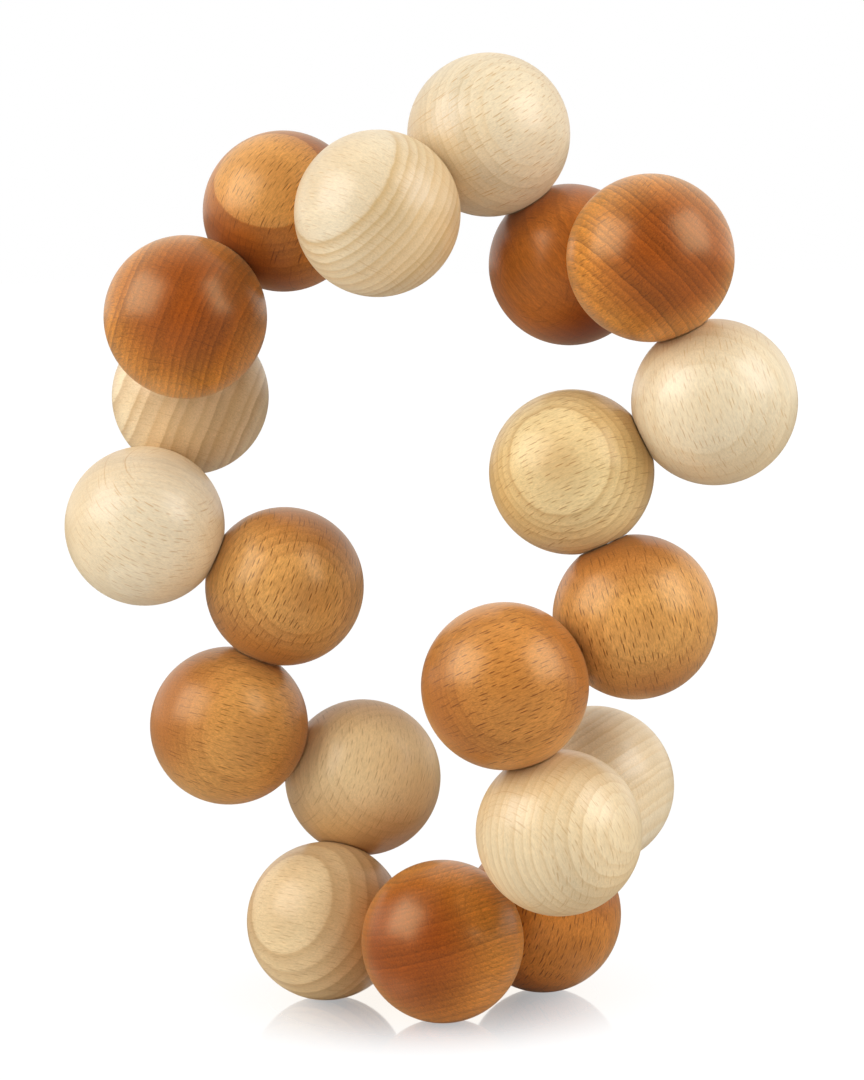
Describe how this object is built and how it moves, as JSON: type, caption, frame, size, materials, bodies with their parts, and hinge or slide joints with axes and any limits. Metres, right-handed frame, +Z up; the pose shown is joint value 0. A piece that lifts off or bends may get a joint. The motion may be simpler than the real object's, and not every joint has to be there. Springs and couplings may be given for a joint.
{
  "type": "linked wooden ball ring",
  "caption": "Closed ring of turned beech balls, each joined to the next by a stiff captive swivel, standing as a tall open loop on its lowest balls.",
  "frame": {"origin": "middle of the ring's box, on the surface that its lowest balls stand on", "axes": "+Z up, +X to the right and +Y away from someone who looks at the wide face of the standing ring"},
  "size_m": [0.1802, 0.1048, 0.2371],
  "materials": {
    "beech_red": "satin oiled",
    "beech_brown": "satin oiled",
    "beech_pale": "satin oiled",
    "beech_orange": "satin oiled",
    "beech_honey": "satin oiled",
    "beech_natural": "satin oiled",
    "pin_steel": "turned",
    "bush_brass": "turned"
  },
  "bodies": {
    "link_01": {"ball_01": "beech_red", "pin_01": "pin_steel", "bush_01": "bush_brass"},
    "link_02": {"ball_02": "beech_brown", "pin_02": "pin_steel", "bush_02": "bush_brass"},
    "link_03": {"ball_03": "beech_pale", "pin_03": "pin_steel", "bush_03": "bush_brass"},
    "link_04": {"ball_04": "beech_pale", "pin_04": "pin_steel", "bush_04": "bush_brass"},
    "link_05": {"ball_05": "beech_orange", "pin_05": "pin_steel", "bush_05": "bush_brass"},
    "link_06": {"ball_06": "beech_brown", "pin_06": "pin_steel", "bush_06": "bush_brass"},
    "link_07": {"ball_07": "beech_honey", "pin_07": "pin_steel", "bush_07": "bush_brass"},
    "link_08": {"ball_08": "beech_pale", "pin_08": "pin_steel", "bush_08": "bush_brass"},
    "link_09": {"ball_09": "beech_red", "pin_09": "pin_steel", "bush_09": "bush_brass"},
    "link_10": {"ball_10": "beech_brown", "pin_10": "pin_steel", "bush_10": "bush_brass"},
    "link_11": {"ball_11": "beech_pale", "pin_11": "pin_steel", "bush_11": "bush_brass"},
    "link_12": {"ball_12": "beech_pale", "pin_12": "pin_steel", "bush_12": "bush_brass"},
    "link_13": {"ball_13": "beech_brown", "pin_13": "pin_steel", "bush_13": "bush_brass"},
    "link_14": {"ball_14": "beech_red", "pin_14": "pin_steel", "bush_14": "bush_brass"},
    "link_15": {"ball_15": "beech_natural", "pin_15": "pin_steel", "bush_15": "bush_brass"},
    "link_16": {"ball_16": "beech_pale", "pin_16": "pin_steel", "bush_16": "bush_brass"},
    "link_17": {"ball_17": "beech_brown", "pin_17": "pin_steel", "bush_17": "bush_brass"},
    "link_18": {"ball_18": "beech_brown", "pin_18": "pin_steel", "bush_18": "bush_brass"},
    "link_19": {"ball_19": "beech_natural", "pin_19": "pin_steel", "bush_19": "bush_brass"},
    "link_20": {"ball_20": "beech_natural", "pin_20": "pin_steel", "bush_20": "bush_brass"}
  },
  "joints": [
    {"name": "swivel_01", "type": "hinge", "parent": "link_01", "child": "link_02", "pos_m": [0.01551, 0.00198, 0.02], "axis": [0.6698, 0.7426, 0], "range_deg": [-22, 22]},
    {"name": "swivel_02", "type": "hinge", "parent": "link_02", "child": "link_03", "pos_m": [0.03488, 0.01142, 0.03735], "axis": [0.3415, -0.2493, 0.9062], "range_deg": [-6.59, 6.59]},
    {"name": "swivel_03", "type": "hinge", "parent": "link_03", "child": "link_04", "pos_m": [0.03621, -0.01165, 0.05255], "axis": [-0.2717, -0.9558, -0.1124], "range_deg": [-22.08, 22.08]},
    {"name": "swivel_04", "type": "hinge", "parent": "link_04", "child": "link_05", "pos_m": [0.02475, -0.03118, 0.06846], "axis": [-0.3269, -0.0636, 0.9429], "range_deg": [-20.25, 20.25]},
    {"name": "swivel_05", "type": "hinge", "parent": "link_05", "child": "link_06", "pos_m": [0.03454, -0.02462, 0.09349], "axis": [0.8382, 0.406, 0.3643], "range_deg": [-6.84, 6.84]},
    {"name": "swivel_06", "type": "hinge", "parent": "link_06", "child": "link_07", "pos_m": [0.04318, -0.01527, 0.11805], "axis": [-0.3869, 0.0821, 0.9184], "range_deg": [-42.31, 42.31]},
    {"name": "swivel_07", "type": "hinge", "parent": "link_07", "child": "link_08", "pos_m": [0.05296, -0.01533, 0.14394], "axis": [0.8973, -0.0849, 0.4331], "range_deg": [-10.97, 10.97]},
    {"name": "swivel_08", "type": "hinge", "parent": "link_08", "child": "link_09", "pos_m": [0.06247, -0.01892, 0.16967], "axis": [-0.4006, -0.103, 0.9105], "range_deg": [-8.98, 8.98]},
    {"name": "swivel_09", "type": "hinge", "parent": "link_09", "child": "link_10", "pos_m": [0.04587, -0.00399, 0.186], "axis": [-0.4664, 0.8827, -0.0574], "range_deg": [-5.23, 5.23]},
    {"name": "swivel_20", "type": "hinge", "parent": "link_01", "child": "link_20", "pos_m": [-0.01208, -0.00005, 0.02], "axis": [-0.7711, 0.6368, 0], "range_deg": [-10.59, 10.59]},
    {"name": "swivel_19", "type": "hinge", "parent": "link_20", "child": "link_19", "pos_m": [-0.02196, 0.01937, 0.03705], "axis": [0.2551, 0.3775, 0.8902], "range_deg": [-13.63, 13.63]},
    {"name": "swivel_18", "type": "hinge", "parent": "link_19", "child": "link_18", "pos_m": [-0.03376, 0.0215, 0.06198], "axis": [-0.8714, -0.2665, 0.4118], "range_deg": [-6.25, 6.25]},
    {"name": "swivel_17", "type": "hinge", "parent": "link_18", "child": "link_17", "pos_m": [-0.04305, 0.01634, 0.08753], "axis": [0.3866, -0.0029, 0.9222], "range_deg": [-17.88, 17.88]},
    {"name": "swivel_16", "type": "hinge", "parent": "link_17", "child": "link_16", "pos_m": [-0.05289, 0.01451, 0.11332], "axis": [-0.9007, -0.0923, 0.4246], "range_deg": [-10.65, 10.65]},
    {"name": "swivel_15", "type": "hinge", "parent": "link_16", "child": "link_15", "pos_m": [-0.06475, 0.02257, 0.13698], "axis": [0.2813, 0.513, 0.811], "range_deg": [-12.99, 12.99]},
    {"name": "swivel_14", "type": "hinge", "parent": "link_15", "child": "link_14", "pos_m": [-0.05856, 0.01657, 0.16327], "axis": [0.0419, -0.8262, 0.5619], "range_deg": [-18.6, 18.6]},
    {"name": "swivel_13", "type": "hinge", "parent": "link_14", "child": "link_13", "pos_m": [-0.04588, 0.00892, 0.18663], "axis": [0.6205, 0.4263, 0.6582], "range_deg": [-1.32, 1.32]},
    {"name": "swivel_12", "type": "hinge", "parent": "link_13", "child": "link_12", "pos_m": [-0.02204, 0.00212, 0.19892], "axis": [0.6243, -0.781, -0.0164], "range_deg": [-9.65, 9.65]},
    {"name": "swivel_11", "type": "hinge", "parent": "link_12", "child": "link_11", "pos_m": [0.0036, -0.00316, 0.20788], "axis": [0.7146, 0.5052, 0.484], "range_deg": [-4.85, 4.85]}
  ],
  "couplings": [
    {"joint": "swivel_02", "follows": "swivel_01", "ratio": -0.27663},
    {"joint": "swivel_03", "follows": "swivel_01", "ratio": 0.98074},
    {"joint": "swivel_04", "follows": "swivel_01", "ratio": -0.89773},
    {"joint": "swivel_05", "follows": "swivel_01", "ratio": 0.28835},
    {"joint": "swivel_06", "follows": "swivel_01", "ratio": 1.9004},
    {"joint": "swivel_07", "follows": "swivel_01", "ratio": -0.47601},
    {"joint": "swivel_08", "follows": "swivel_01", "ratio": 0.38542},
    {"joint": "swivel_09", "follows": "swivel_01", "ratio": -0.21485},
    {"joint": "swivel_20", "follows": "swivel_01", "ratio": 0.45858},
    {"joint": "swivel_19", "follows": "swivel_01", "ratio": -0.59694},
    {"joint": "swivel_18", "follows": "swivel_01", "ratio": -0.26149},
    {"joint": "swivel_17", "follows": "swivel_01", "ratio": 0.79011},
    {"joint": "swivel_16", "follows": "swivel_01", "ratio": -0.46143},
    {"joint": "swivel_15", "follows": "swivel_01", "ratio": -0.56794},
    {"joint": "swivel_14", "follows": "swivel_01", "ratio": -0.8226},
    {"joint": "swivel_13", "follows": "swivel_01", "ratio": 0.03732},
    {"joint": "swivel_12", "follows": "swivel_01", "ratio": 0.41601},
    {"joint": "swivel_11", "follows": "swivel_01", "ratio": 0.19791}
  ]
}
